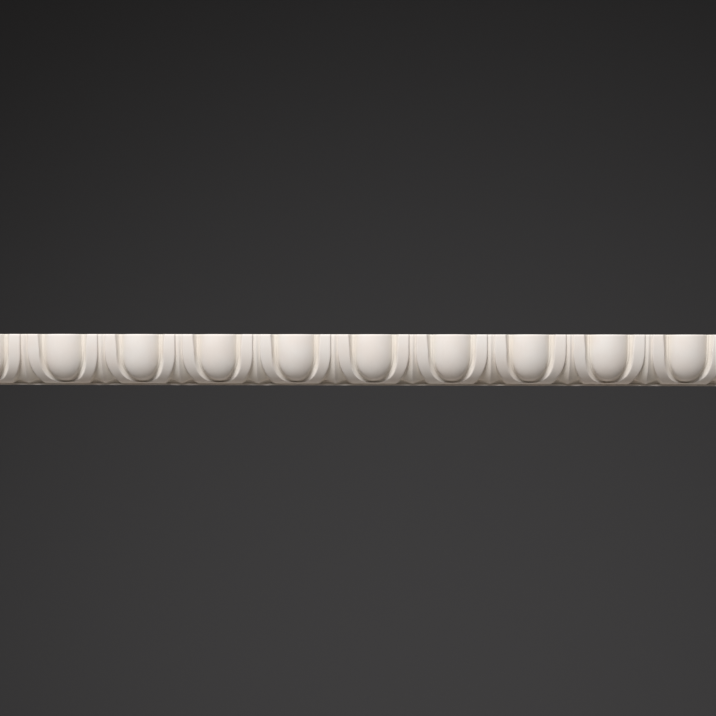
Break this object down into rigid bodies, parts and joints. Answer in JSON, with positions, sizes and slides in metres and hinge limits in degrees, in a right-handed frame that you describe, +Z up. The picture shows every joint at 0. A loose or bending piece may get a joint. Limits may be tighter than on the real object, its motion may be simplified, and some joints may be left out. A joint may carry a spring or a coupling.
{
  "type": "decorative moulding",
  "caption": "Straight cast plaster egg and dart moulding, a flat-backed trim strip for the joint of a wall and a ceiling or panel, cut square at its ends.",
  "frame": {"origin": "middle of the flat back, halfway along the length and halfway up the height", "axes": "+X along the moulding to the right as seen from the room, +Y into the wall, +Z up"},
  "size_m": [0.61, 0.0235, 0.04],
  "materials": {
    "plaster": "matte"
  },
  "bodies": {
    "root": {"moulding": "plaster"}
  },
  "joints": []
}
